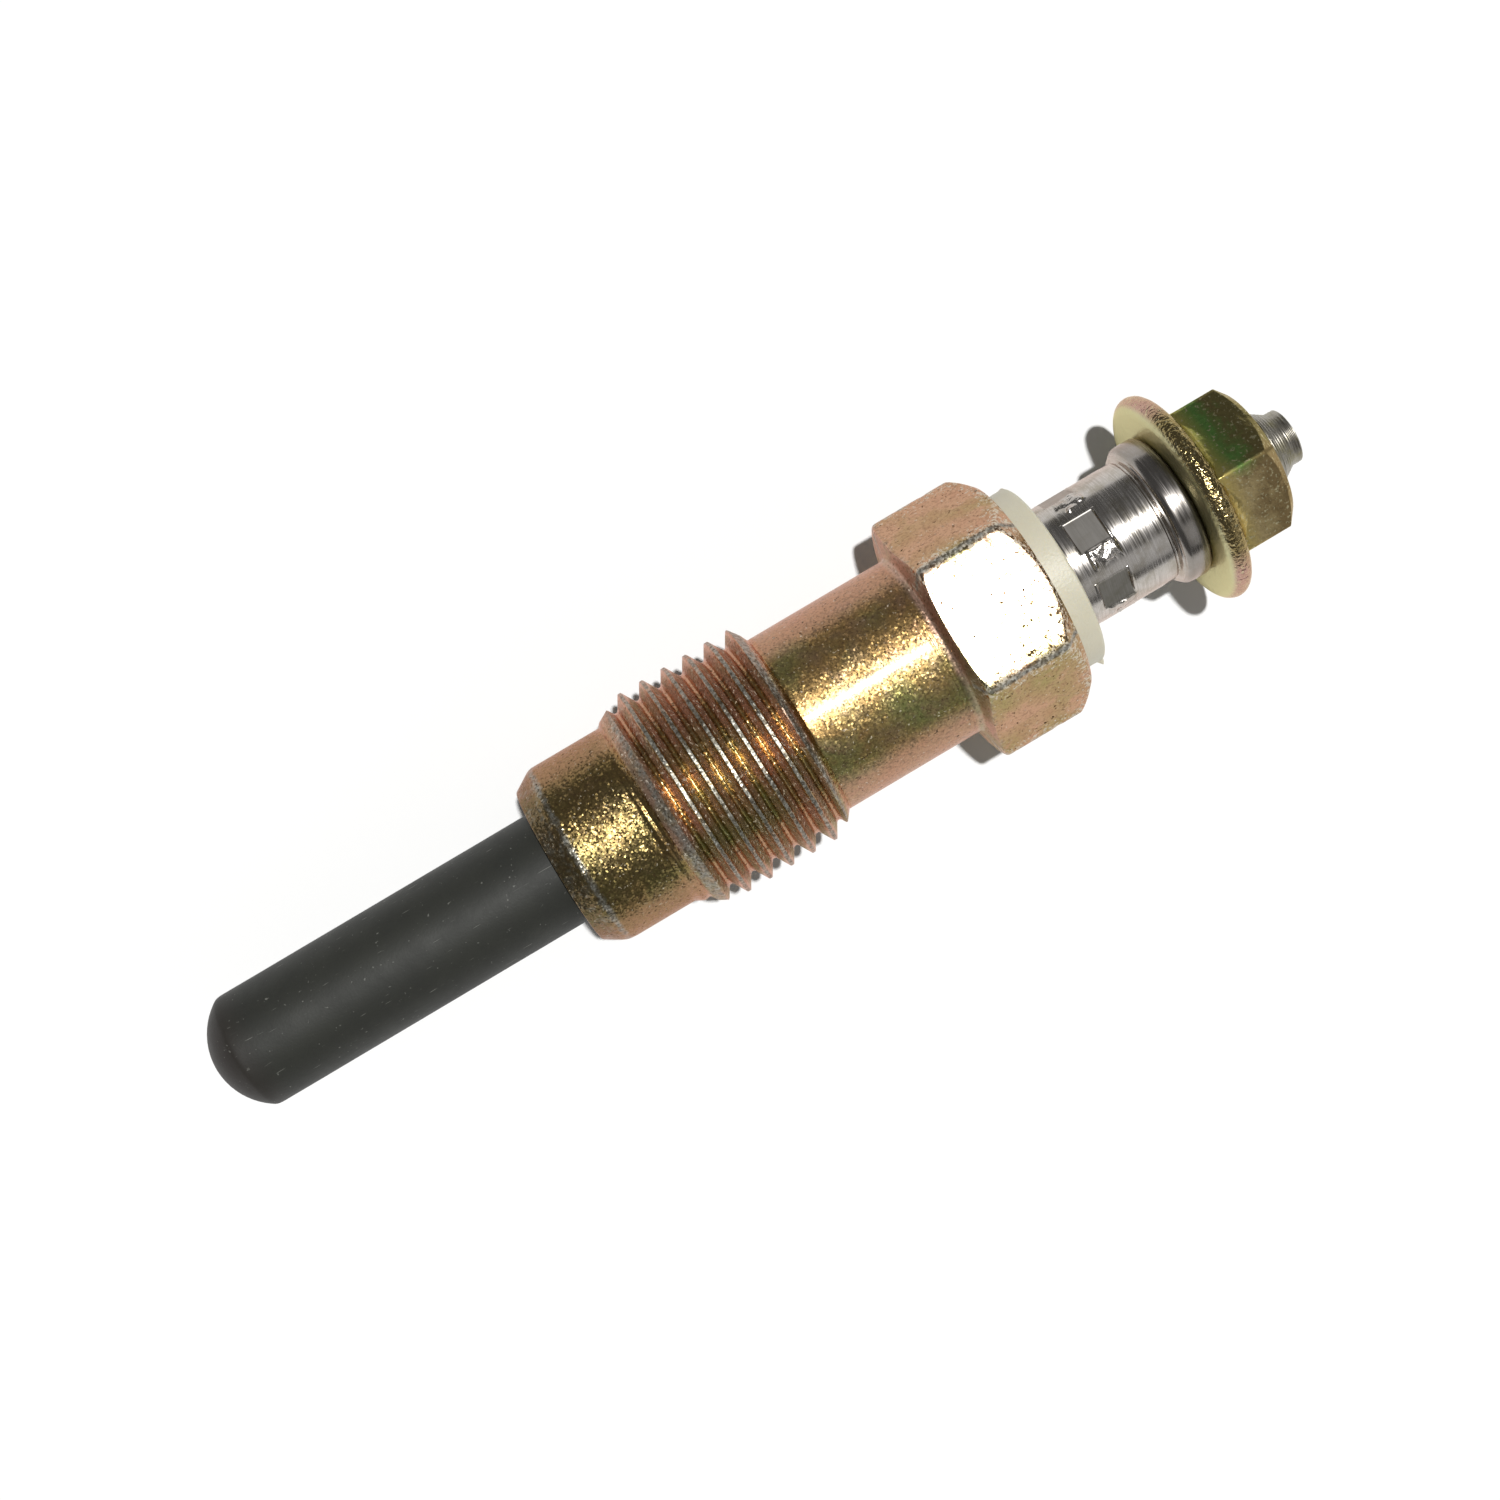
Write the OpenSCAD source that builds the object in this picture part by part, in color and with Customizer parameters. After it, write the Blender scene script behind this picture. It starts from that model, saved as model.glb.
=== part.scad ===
// Diesel glow plug, lying on one flat of its hexagon.
// Its axis is +X: the heater's tip points to -X and the terminal to +X.
// The origin is on the axis, in the plane of the body's front face, where the glow tube comes out.

/* [Glow tube] */
// Outside diameter of the glow tube
tube_d = 6.1; // [5.4:0.1:6.8]
// Wall of the glow tube
tube_wall = 0.6; // [0.4:0.05:0.8]
// Length of tube that stands out of the body, tip included
tube_reach = 19.6; // [17:0.2:26]
// Length of tube pressed into the body
tube_seat = 12.5; // [11:0.5:15]
// Height of the domed tip
tip_rise = 1.74; // [1.2:0.02:2.6]
// Thickness of metal at the tip
tip_wall = 0.9; // [0.6:0.05:1.1]

/* [Coils] */
// Diameter of the coil wire
wire_d = 0.4; // [0.3:0.02:0.5]
// Mean diameter of both coils
coil_d = 2.5; // [2.2:0.1:2.8]
// Length of the heating coil
heating_len = 8.4; // [6:0.2:10]
// Turns of the heating coil
heating_turns = 8; // [6:1:10]
// Turns of the regulating coil
regulating_turns = 10; // [8:1:12]
// Length of regulating coil wound onto the pin
coil_grip = 2.2; // [1.6:0.2:2.6]
// Powder between the inside of the tip and the first turn
tip_gap = 0.3; // [0.2:0.05:0.6]
// Width of the weld inside the tip that the wire's first end meets
weld_w = 0.6; // [0.5:0.05:0.8]

/* [Body] */
// Diameter of the plain shank, before and behind the thread
shank_d = 9.85; // [9.4:0.05:10.2]
// How much narrower the front face is than the shank, on each side
seat_drop = 0.68; // [0.4:0.02:1]
// Length of the conical sealing seat
seat_len = 1.1; // [0.7:0.05:1.5]
// Length of plain shank between the seat and the thread
front_len = 3.8; // [2:0.05:6]
// Outside diameter of the thread
thread_d = 11.8; // [11:0.1:11.8]
// Length of the thread, with both its chamfers
thread_len = 8.95; // [7:0.05:12]
// Length of the chamfer where the thread starts
thread_lead = 1.75; // [0.8:0.05:2]
// Length of the chamfer where the thread ends
thread_run_out = 0.75; // [0.4:0.05:1.2]
// Distance from one groove of the thread to the next
thread_pitch = 1.25; // [1.2:0.05:1.5]
// Depth of the thread's grooves
thread_depth = 0.78; // [0.4:0.02:0.8]
// Angle between the two flanks of a groove
thread_angle = 60; // [50:1:60]
// Width of the floor of a groove
groove_floor = 0.15; // [0.1:0.01:0.2]
// Distance from the start of the thread to the first groove
groove_from = 0.73; // [0.6:0.01:1.2]
// Length of plain shank between the thread and the hexagon
rear_len = 7.8; // [5:0.2:12]
// Radius of the fillet under the hexagon
hex_fillet = 0.4; // [0.2:0.05:0.6]

/* [Hexagon] */
// Width across the flats
hex_af = 11.8; // [11.8:0.1:14]
// Length of the hexagon
hex_len = 5.65; // [5:0.05:8]
// How far each corner is turned down
corner_break = 0.13; // [0.05:0.01:0.3]
// How far the front shoulder leans back at the corners
shoulder_lean = 0.35; // [0.1:0.05:0.6]
// Diameter of the rear end face, inside the chamfer
hex_face_d = 11.6; // [10.6:0.1:11.8]
// Length of the rear chamfer at the corners
hex_chamfer = 0.85; // [0.4:0.05:1.6]
// Depth of the counterbore for the seal and the washer
counterbore_depth = 5.4; // [4.6:0.1:5.6]

/* [Insulating washer] */
// Diameter of the flange
washer_d = 9.9; // [9:0.1:10.6]
// Thickness of the flange
washer_t = 1.4; // [0.8:0.05:2]
// Diameter of the spigot inside the body
spigot_d = 7.9; // [7.5:0.1:8.2]
// Radius of the flange's edge
washer_edge = 0.2; // [0.1:0.05:0.25]

/* [Ring nut] */
// Diameter of the ring nut
ring_d = 6.7; // [6.4:0.1:7.2]
// Length of the ring nut
ring_len = 6.95; // [6:0.1:9]
// How far the flange stands out past the ring, all round
ring_step = 0.55; // [0.3:0.05:0.9]
// Thickness of the flange
ring_flange_t = 1.6; // [1:0.1:2.2]
// Stake marks round the ring
stake_count = 6; // [3:1:8]
// Length of a stake mark
stake_len = 1.8; // [1:0.1:2.2]
// Depth of a stake mark
stake_depth = 0.14; // [0.06:0.02:0.2]
// Distance from the washer to the stake marks
stake_from = 1.1; // [0.6:0.1:1.6]
// Turn of the first stake mark from the top
stake_turn = -17; // [-30:1:30]

/* [Terminal nut] */
// Width across the flats of the nut
nut_af = 7.8; // [7.6:0.1:8.4]
// Height of the nut
nut_h = 4.8; // [4.4:0.1:6]
// Diameter of the nut's flange
nut_flange_d = 11.5; // [10.4:0.1:11.6]
// Thickness of the flange's rim
nut_rim = 1.2; // [0.8:0.05:1.4]
// Height at which the flange runs into the flats
nut_blend = 2.5; // [1.8:0.1:2.8]
// Depth of the chamfer on the end of the nut
nut_chamfer = 0.32; // [0.2:0.02:0.5]
// Slope of that chamfer
nut_slope = 40; // [20:1:50]
// How far each corner of the nut is rounded off
nut_corner_break = 0.08; // [0.04:0.02:0.2]
// Turn of the nut from the body's hexagon
nut_turn = 32; // [0:1:60]

/* [Terminal pin] */
// Outside diameter of the pin's thread
stud_d = 4.9; // [4.7:0.05:5]
// Diameter of the plain pin inside the body
pin_d = 4.4; // [4:0.1:4.6]
// Diameter of the pin inside the glow tube
stem_d = 2.8; // [2.4:0.1:3]
// Length of stem inside the glow tube
stem_len = 8.5; // [6:0.5:10]
// Distance from the glow tube's open end to where the pin widens
pin_step_gap = 1; // [0.5:0.1:3]
// Length of the taper at the free end
point_taper = 1.5; // [1:0.1:2]
// Diameter of the pilot at the free end
pilot_d = 2.92; // [2.4:0.02:3.4]
// Length of the pilot
pilot_len = 0.55; // [0.3:0.05:1.5]

/* [Seals] */
// Length of the rubber plug in the tube's open end
plug_len = 3; // [2:0.1:4]
// How far the plug sits inside the open end
plug_depth = 0.3; // [0:0.1:1]

/* [Fits] */
// Clearance on each side where one round piece slides in another
slip = 0.05; // [0.02:0.01:0.08]

/* [Hidden] */

$fn = 96;

// How far a cut runs past the piece that it is made in
over = 1;
// How far a groove of the thread runs past the thread's outside
groove_over = 0.05;
// Steps that a rounded corner of a turned outline is drawn with
arc_steps = 6;
// Corners of the coil wire's section, and rings in each turn of a coil
wire_sides = 6;
turn_rings = 16;

// Stations along the axis, from the body's front face
thread_start = seat_len + front_len;
thread_end = thread_start + thread_len;
hex_start = thread_end + rear_len;
hex_end = hex_start + hex_len;
washer_face = hex_end + washer_t;
ring_end = washer_face + ring_len;
nut_end = ring_end + nut_h;
counterbore_floor = hex_end - counterbore_depth;

// Grooves that fit between the thread's start and its run-out
groove_count = floor((thread_len - groove_from - thread_run_out / 2) / thread_pitch) + 1;

// Radii of the hexagons' corners
hex_corner_r = hex_af / 2 / cos(30) - corner_break;
nut_corner_r = nut_af / 2 / cos(30) - nut_corner_break;

// The domed tip is a ball cap on the tube
tube_r = tube_d / 2;
tube_in_r = tube_r - tube_wall;
tip_r = (tube_r * tube_r + tip_rise * tip_rise) / (2 * tip_rise);
tip_centre = tip_r - tube_reach;

// The first turn lies just behind the inside of the dome, and the last one against the pin's stem
wire_r = wire_d / 2;
coil_r = coil_d / 2;
tip_in_r = tip_r - tip_wall;
coil_out_r = coil_r + wire_r;
tip_in_end = tip_centre - sqrt(tip_in_r * tip_in_r - coil_out_r * coil_out_r);
coil_start = tip_in_end + tip_gap + wire_r;
coil_joint = coil_start + heating_len;
stem_start = tube_seat - stem_len;
coil_end = stem_start - slip - wire_r;
grip_d = coil_d - wire_d - 2 * slip;
grip_start = stem_start - coil_grip;

// The pin widens behind the tube's open end, with a cone as long as its step
pin_step = tube_seat + pin_step_gap;
pin_cone = (pin_d - stem_d) / 2;

// Hole in each piece that is passed over the pin's thread
stud_hole_d = stud_d + 2 * slip;

// The seal fills the space between the pin and the counterbore
counterbore_d = spigot_d + 2 * slip;
seal_d = (counterbore_d - pin_d) / 2 - 2 * slip;
spigot_start = counterbore_floor + seal_d + 2 * slip;
plug_end = tube_seat - plug_depth;
plug_start = plug_end - plug_len;

yellow_zinc = "#b3934f";
heater_steel = "#3a3b39";
coil_wire = "#8d8678";
magnesia = "#d9d6cc";
black_rubber = "#232323";
pin_steel = "#a3a39e";
cream_nylon = "#e3e0c5";
bright_nickel = "#c9c9c4";
olive_zinc = "#6f6a38";

// Points of an arc in an outline, with angles from the radial direction
function arc(centre, radius, from, to) = [
    for (i = [0 : arc_steps])
        let (a = from + (to - from) * i / arc_steps)
        centre + radius * [cos(a), sin(a)]
];

// Ring k of a coil of round wire, in the plane that holds the axis
function wire_ring(k, start, pitch) = [
    for (i = [0 : wire_sides - 1])
        let (turn = 360 * k / turn_rings)
        let (section = 360 * i / wire_sides)
        let (reach = coil_r + wire_r * cos(section))
        [
            reach * cos(turn),
            reach * sin(turn),
            start + pitch * k / turn_rings + wire_r * sin(section)
        ]
];

// Lays a piece that was made upright down along +X
module lay_down() {
    rotate([0, 90, 0]) children();
}

// A piece turned on a lathe, from its outline as [radius, station] points
module turned(outline) {
    rotate_extrude() polygon(outline);
}

// A hole or a rod along the axis
module round_bar(diameter, from, to) {
    translate([0, 0, from]) cylinder(d = diameter, h = to - from);
}

// A hexagon bar along the axis, with a flat facing down once it is laid down
module hex_bar(across_flats, from, to) {
    translate([0, 0, from]) rotate(30)
        cylinder(d = across_flats / cos(30), h = to - from, $fn = 6);
}

// The rounded tip of the tube, or of the space inside it
module ball_tip(ball_r, rod_r) {
    intersection() {
        translate([0, 0, tip_centre]) sphere(r = ball_r);
        round_bar(2 * rod_r, tip_centre - ball_r, tip_centre);
    }
}

module tube_inside(to) {
    ball_tip(tip_in_r, tube_in_r);
    round_bar(2 * tube_in_r, tip_centre, to);
}

// A coil of round wire with flat ends
module wire_coil(start, end, turns) {
    rings = turns * turn_rings;
    pitch = (end - start) / turns;
    points = [for (k = [0 : rings]) each wire_ring(k, start, pitch)];
    sides = [
        for (k = [0 : rings - 1], i = [0 : wire_sides - 1])
            let (j = (i + 1) % wire_sides)
            [k * wire_sides + i, (k + 1) * wire_sides + i, (k + 1) * wire_sides + j, k * wire_sides + j]
    ];
    first_cap = [for (i = [0 : wire_sides - 1]) i];
    last_cap = [for (i = [wire_sides - 1 : -1 : 0]) rings * wire_sides + i];
    polyhedron(points, concat([first_cap, last_cap], sides));
}

// The weld inside the tip: its side is against the flat end of the heating coil's wire
module tip_weld() {
    translate([coil_r - weld_w / 2, -weld_w, tip_centre - tip_in_r])
        cube([weld_w, weld_w, coil_start + weld_w / 2 - tip_centre + tip_in_r]);
}

// The ring-shaped bed in the powder that both coils lie in
module coil_bed() {
    turned([
        [grip_d / 2, tip_in_end + tip_gap - slip],
        [coil_out_r + slip, tip_in_end + tip_gap - slip],
        [coil_out_r + slip, stem_start],
        [grip_d / 2, stem_start]
    ]);
}

module pin_outline() {
    turned([
        [0, grip_start],
        [grip_d / 2, grip_start],
        [grip_d / 2, stem_start],
        [stem_d / 2, stem_start],
        [stem_d / 2, pin_step],
        [pin_d / 2, pin_step + pin_cone],
        [pin_d / 2, washer_face],
        [stud_d / 2, washer_face],
        [stud_d / 2, nut_end],
        [pilot_d / 2, nut_end + point_taper],
        [pilot_d / 2, nut_end + point_taper + pilot_len],
        [0, nut_end + point_taper + pilot_len]
    ]);
}

// One groove of the thread, all round
module thread_groove(at) {
    root_r = thread_d / 2 - thread_depth;
    rim_r = thread_d / 2 + groove_over;
    floor_half = groove_floor / 2;
    rim_half = floor_half + (rim_r - root_r) * tan(thread_angle / 2);
    turned([
        [root_r, at - floor_half],
        [rim_r, at - rim_half],
        [rim_r, at + rim_half],
        [root_r, at + floor_half]
    ]);
}

module body() {
    shank_r = shank_d / 2;
    color(yellow_zinc) lay_down() difference() {
        union() {
            turned(concat(
                [
                    [0, 0],
                    [shank_r - seat_drop, 0],
                    [shank_r, seat_len],
                    [shank_r, thread_start],
                    [thread_d / 2, thread_start + thread_lead],
                    [thread_d / 2, thread_end - thread_run_out],
                    [shank_r, thread_end]
                ],
                arc([shank_r + hex_fillet, hex_start - hex_fillet], hex_fillet, 180, 90),
                [[shank_r + hex_fillet, hex_start + hex_fillet], [0, hex_start + hex_fillet]]
            ));
            intersection() {
                hex_bar(hex_af, hex_start, hex_end);
                turned([
                    [0, hex_start],
                    [shank_r + hex_fillet, hex_start],
                    [hex_corner_r, hex_start + shoulder_lean],
                    [hex_corner_r, hex_end - hex_chamfer],
                    [hex_face_d / 2, hex_end],
                    [0, hex_end]
                ]);
            }
        }
        round_bar(tube_d, -over, hex_end);
        round_bar(counterbore_d, counterbore_floor, hex_end + over);
        for (i = [0 : groove_count - 1])
            thread_groove(thread_start + groove_from + thread_pitch * i);
    }
}

module glow_tube() {
    color(heater_steel) lay_down() difference() {
        union() {
            ball_tip(tip_r, tube_r);
            round_bar(tube_d, tip_rise - tube_reach, tube_seat);
        }
        difference() {
            tube_inside(tube_seat + over);
            tip_weld();
        }
    }
}

module heating_coil() {
    color(coil_wire) lay_down() wire_coil(coil_start, coil_joint, heating_turns);
}

module regulating_coil() {
    color(coil_wire) lay_down() wire_coil(coil_joint, coil_end, regulating_turns);
}

module insulating_powder() {
    color(magnesia) lay_down() difference() {
        tube_inside(plug_start);
        pin_outline();
        coil_bed();
        tip_weld();
    }
}

module tube_seal() {
    color(black_rubber) lay_down() difference() {
        round_bar(2 * tube_in_r, plug_start, plug_end);
        round_bar(stem_d, plug_start - over, plug_end + over);
    }
}

module terminal_pin() {
    color(pin_steel) lay_down() pin_outline();
}

module body_seal() {
    color(black_rubber) lay_down()
        translate([0, 0, counterbore_floor + seal_d / 2 + slip]) rotate_extrude()
            translate([(pin_d + counterbore_d) / 4, 0]) circle(d = seal_d);
}

module insulating_washer() {
    edge = [washer_d / 2 - washer_edge, washer_face - washer_edge];
    color(cream_nylon) lay_down() difference() {
        turned(concat(
            [
                [0, spigot_start],
                [spigot_d / 2, spigot_start],
                [spigot_d / 2, hex_end],
                [washer_d / 2, hex_end]
            ],
            arc(edge, washer_edge, 0, 90),
            [[0, washer_face]]
        ));
        round_bar(stud_hole_d, spigot_start - over, washer_face + over);
    }
}

module ring_nut() {
    flange_start = ring_end - ring_flange_t;
    shoulder = [ring_d / 2, flange_start + ring_step];
    stake_at = ring_d / 2 - stake_depth;
    color(bright_nickel) lay_down() difference() {
        turned(concat(
            [[0, washer_face], [ring_d / 2, washer_face]],
            arc(shoulder, ring_step, -90, 0),
            [[ring_d / 2 + ring_step, ring_end], [0, ring_end]]
        ));
        round_bar(stud_hole_d, washer_face - over, ring_end + over);
        for (i = [0 : stake_count - 1])
            rotate(180 + stake_turn + 360 * i / stake_count)
                translate([stake_at, -ring_d / 2, washer_face + stake_from])
                    cube([ring_d, ring_d, stake_len]);
    }
}

module terminal_nut() {
    rim = [(nut_flange_d - nut_rim) / 2, ring_end + nut_rim / 2];
    blend_r = min(nut_blend - nut_rim, rim[0] - nut_af / 2);
    blend = [nut_af / 2 + blend_r, ring_end + nut_rim + blend_r];
    face_r = nut_af / 2 - nut_chamfer;
    chamfer_len = (nut_corner_r - face_r) * tan(nut_slope);
    color(olive_zinc) lay_down() difference() {
        union() {
            turned(concat(
                [[0, ring_end]],
                arc(rim, nut_rim / 2, -90, 90),
                arc(blend, blend_r, 270, 180),
                [[0, ring_end + nut_rim + blend_r]]
            ));
            intersection() {
                rotate(nut_turn) hex_bar(nut_af, ring_end + nut_rim, nut_end);
                turned([
                    [0, ring_end],
                    [nut_corner_r, ring_end],
                    [nut_corner_r, nut_end - chamfer_len],
                    [face_r, nut_end],
                    [0, nut_end]
                ]);
            }
        }
        round_bar(stud_hole_d, ring_end - over, nut_end + over);
    }
}

body();
glow_tube();
heating_coil();
regulating_coil();
insulating_powder();
tube_seal();
terminal_pin();
body_seal();
insulating_washer();
ring_nut();
terminal_nut();
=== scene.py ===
import math

import bmesh
import bpy
import numpy as np
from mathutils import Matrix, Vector, noise


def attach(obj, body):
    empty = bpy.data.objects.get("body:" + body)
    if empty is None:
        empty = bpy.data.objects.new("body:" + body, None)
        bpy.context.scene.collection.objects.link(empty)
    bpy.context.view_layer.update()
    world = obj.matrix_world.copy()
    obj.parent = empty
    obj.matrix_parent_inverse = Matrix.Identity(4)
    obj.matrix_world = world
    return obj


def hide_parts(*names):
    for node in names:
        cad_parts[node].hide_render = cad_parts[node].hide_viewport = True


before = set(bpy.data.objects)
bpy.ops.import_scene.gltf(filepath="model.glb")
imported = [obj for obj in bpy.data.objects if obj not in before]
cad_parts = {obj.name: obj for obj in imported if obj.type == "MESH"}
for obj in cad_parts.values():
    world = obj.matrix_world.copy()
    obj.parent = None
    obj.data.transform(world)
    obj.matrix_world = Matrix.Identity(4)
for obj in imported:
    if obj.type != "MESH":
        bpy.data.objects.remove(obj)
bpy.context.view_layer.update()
scene = bpy.context.scene
scene.view_settings.view_transform = "Standard"

# The camera hangs about 105 mm above the plug and looks straight down.
# Its lens has the field of view of a 50 mm lens on a 36 mm sensor, and it is turned so that
# the plug runs from the lower left of the frame to the upper right.
camera_data = bpy.data.cameras.new("overhead_camera")
camera_data.sensor_width = 36.0
camera_data.lens = 50.41
camera_data.clip_start = 0.001
camera = bpy.data.objects.new("overhead_camera", camera_data)
camera.location = (0.007597, 0.000206, 0.104937)
camera.rotation_mode = "ZYX"
camera.rotation_euler = (math.radians(-0.036), math.radians(-1.902), math.radians(-30.66))
scene.collection.objects.link(camera)
scene.camera = camera

# One small lamp far overhead leans towards the terminal, so the hexagon's top flat mirrors it.
# A dim grey room all round keeps the flanks of the turned metal dark, and a soft square light
# on one side lifts the nut's lower flats.
lamp_data = bpy.data.lights.new("overhead_lamp", "SUN")
lamp_lean = Vector((0.105, 0.018, 1.0))
lamp_data.energy = 2.95
lamp_data.angle = math.radians(2.0)
lamp = bpy.data.objects.new("overhead_lamp", lamp_data)
lamp.rotation_mode = "QUATERNION"
lamp.rotation_quaternion = lamp_lean.to_track_quat("Z", "Y")
scene.collection.objects.link(lamp)

side_data = bpy.data.lights.new("side_light", "AREA")
side_lean = Vector((0.13, -0.21, 0.16))
side_data.energy = 0.06
side_data.size = 0.2
side = bpy.data.objects.new("side_light", side_data)
side.location = (0.16, -0.21, 0.16)
side.rotation_mode = "QUATERNION"
side.rotation_quaternion = side_lean.to_track_quat("Z", "Y")
scene.collection.objects.link(side)

room_grey = 0.13
room = bpy.data.worlds.new("dim_room")
room.use_nodes = True
background = room.node_tree.nodes["Background"]
background.inputs["Color"].default_value = (room_grey, room_grey, room_grey, 1.0)
scene.world = room


# The table top is a sheet of smooth white card that the plug lies on: one flat of the
# hexagon and the thread below it touch the card.
def linear(hex_colour):
    """An sRGB colour such as #b8966a as the linear RGBA that Blender's sockets take."""
    channels = [int(hex_colour[i:i + 2], 16) / 255 for i in (1, 3, 5)]
    curve = [c / 12.92 if c <= 0.04045 else ((c + 0.055) / 1.055) ** 2.4 for c in channels]
    return (*curve, 1.0)


def new_finish(name):
    """An empty material with its output node."""
    material = bpy.data.materials.new(name)
    material.use_nodes = True
    material.node_tree.nodes.clear()
    material.node_tree.nodes.new("ShaderNodeOutputMaterial")
    return material


def add(material, kind, settings, sockets):
    """Adds a node. Settings are its own properties; a socket takes a value, an output or a node,
    which stands for its first output in use."""
    tree = material.node_tree
    made = tree.nodes.new("ShaderNode" + kind)
    for name, value in settings.items():
        setattr(made, name, value)
    for name, value in sockets.items():
        socket = next((s for s in made.inputs if s.identifier == name), None) or made.inputs[name]
        if isinstance(value, bpy.types.Node):
            value = next(output for output in value.outputs if output.enabled)
        if isinstance(value, bpy.types.NodeSocket):
            tree.links.new(value, socket)
        else:
            socket.default_value = value
    if kind.startswith("Bsdf"):
        tree.links.new(made.outputs["BSDF"], tree.nodes["Material Output"].inputs["Surface"])
    return made


rgba = {"data_type": "RGBA"}
card_level = -0.0059
card_reach = 1.5
card_corners = [(-1, -1), (1, -1), (1, 1), (-1, 1)]
card_mesh = bpy.data.meshes.new("white_card")
card_points = [(x * card_reach, y * card_reach, card_level) for x, y in card_corners]
card_mesh.from_pydata(card_points, [], [(0, 1, 2, 3)])
white_card = bpy.data.objects.new("white_card", card_mesh)
scene.collection.objects.link(white_card)

# Smooth white card: matt, with a faint fibre in the surface.
smooth_card = new_finish("smooth_white_card")
card_place = add(smooth_card, "TexCoord", {}, {}).outputs["Object"]
card_fibre = add(smooth_card, "TexNoise", {}, {
    "Vector": card_place, "Scale": 1000 / 0.6, "Detail": 3.0})
card_bump = add(smooth_card, "Bump", {}, {"Height": card_fibre, "Distance": 0.00001, "Strength": 0.3})
add(smooth_card, "BsdfPrincipled", {}, {
    "Base Color": linear("#fafaf9"), "Roughness": 0.9, "Specular IOR Level": 0.2, "Normal": card_bump})
card_mesh.materials.append(smooth_card)


# The glow tube is drawn from heat-resistant steel, closed at the tip by a welded dome,
# swaged down on its powder filling and pressed into the body's bore.
def outline_rows(points, loop, count):
    """Rows of a turned outline in millimetres, for count angles round the axis.

    A point is (station, radius, corner, cuts): corner is the setback of its rounded corner and
    cuts is how many rows lie between it and the next point. All but cuts may differ by angle.
    """
    total = len(points)
    spots = [np.stack([np.broadcast_to(station, count), np.broadcast_to(radius, count)]).astype(float)
             for station, radius, _, _ in points]
    most = 0.45
    steps = np.linspace(0, 1, 5)
    curves = []
    for i, (_, _, corner, _) in enumerate(points):
        here = spots[i]
        if np.max(corner) == 0 or (not loop and i in (0, total - 1)):
            curves.append([here])
            continue
        back = spots[i - 1] - here
        ahead = spots[(i + 1) % total] - here
        first = here + back * np.minimum(most, corner / np.maximum(np.hypot(*back), 1e-9))
        last = here + ahead * np.minimum(most, corner / np.maximum(np.hypot(*ahead), 1e-9))
        curves.append([(1 - t) ** 2 * first + 2 * t * (1 - t) * here + t ** 2 * last for t in steps])
    rows = []
    for i, curve in enumerate(curves):
        rows += curve
        if i == total - 1 and not loop:
            break
        cuts = points[i][3]
        target = curves[(i + 1) % total][0]
        rows += [curve[-1] + (target - curve[-1]) * k / (cuts + 1) for k in range(1, cuts + 1)]
    rows = np.array(rows)
    return rows[:, 0], rows[:, 1]


def grid_faces(rows, count, loop):
    """Corner numbers of the faces of a grid that is closed round the axis."""
    i = np.arange(rows if loop else rows - 1)[:, None]
    j = np.arange(count)[None, :]
    ahead = (i + 1) % rows
    beside = (j + 1) % count
    corners = [i * count + j, i * count + beside, ahead * count + beside, ahead * count + j]
    return np.stack(np.broadcast_arrays(*corners), axis=-1).reshape(-1, 4)


def round_points(stations, radii, angles):
    """Points from stations, radii and angles from +Y towards +Z, all in millimetres."""
    return np.stack(np.broadcast_arrays(
        stations, radii * np.cos(angles), radii * np.sin(angles)), axis=-1).reshape(-1, 3)


def clouds(stations, angles, along, around):
    """Smooth noise from -1 to 1 on a turned grid, with so many waves per millimetre and round the axis."""
    rounds = [(around * math.cos(a), around * math.sin(a)) for a in angles]
    return np.array([[noise.noise(Vector((x * along, c, s))) for x, (c, s) in zip(row, rounds)]
                     for row in stations])


def make_piece(name, points, faces, marks, finish, node):
    """A smooth closed piece in place of a solid, with marks from 0 to 1 on its points for its finish."""
    weld = 0.0000004
    sharp = math.radians(40)
    mesh = bpy.data.meshes.new(name)
    mesh.from_pydata((points / 1000).tolist(), [], faces.tolist())
    for mark_name, values in marks.items():
        mark = mesh.attributes.new(mark_name, "FLOAT", "POINT")
        mark.data.foreach_set("value", np.ascontiguousarray(values, dtype=np.float32).ravel())
    work = bmesh.new()
    work.from_mesh(mesh)
    bmesh.ops.remove_doubles(work, verts=work.verts, dist=weld)
    work.to_mesh(mesh)
    work.free()
    mesh.polygons.foreach_set("use_smooth", np.ones(len(mesh.polygons), dtype=bool))
    mesh.set_sharp_from_angle(angle=sharp)
    mesh.materials.append(finish)
    piece = bpy.data.objects.new(name, mesh)
    scene.collection.objects.link(piece)
    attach(piece, "root")
    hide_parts(node)
    return piece


# Oxidised heat-resistant steel: a dark matt skin, greyer where it was handled, with a few pale
# specks and short scratches where the skin is broken, and a brown tint at the hot tip.
oxide = new_finish("oxidised_heater_steel")
place = add(oxide, "TexCoord", {}, {}).outputs["Object"]
skin_cloud = add(oxide, "TexNoise", {}, {
    "Vector": place, "Scale": 1000 / 2.6, "Detail": 7.0, "Roughness": 0.74})
skin_colour = add(oxide, "Mix", rgba, {
    "Factor": skin_cloud, "A_Color": linear("#1f201d"), "B_Color": linear("#34352f")})
along = add(oxide, "SeparateXYZ", {}, {"Vector": place})
tip_tint = add(oxide, "MapRange", {}, {
    "Value": along.outputs["X"], "From Min": -0.0165, "From Max": -0.0186, "To Max": 0.8})
tinted = add(oxide, "Mix", rgba, {
    "Factor": tip_tint, "A_Color": skin_colour, "B_Color": linear("#2c2522")})
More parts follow.
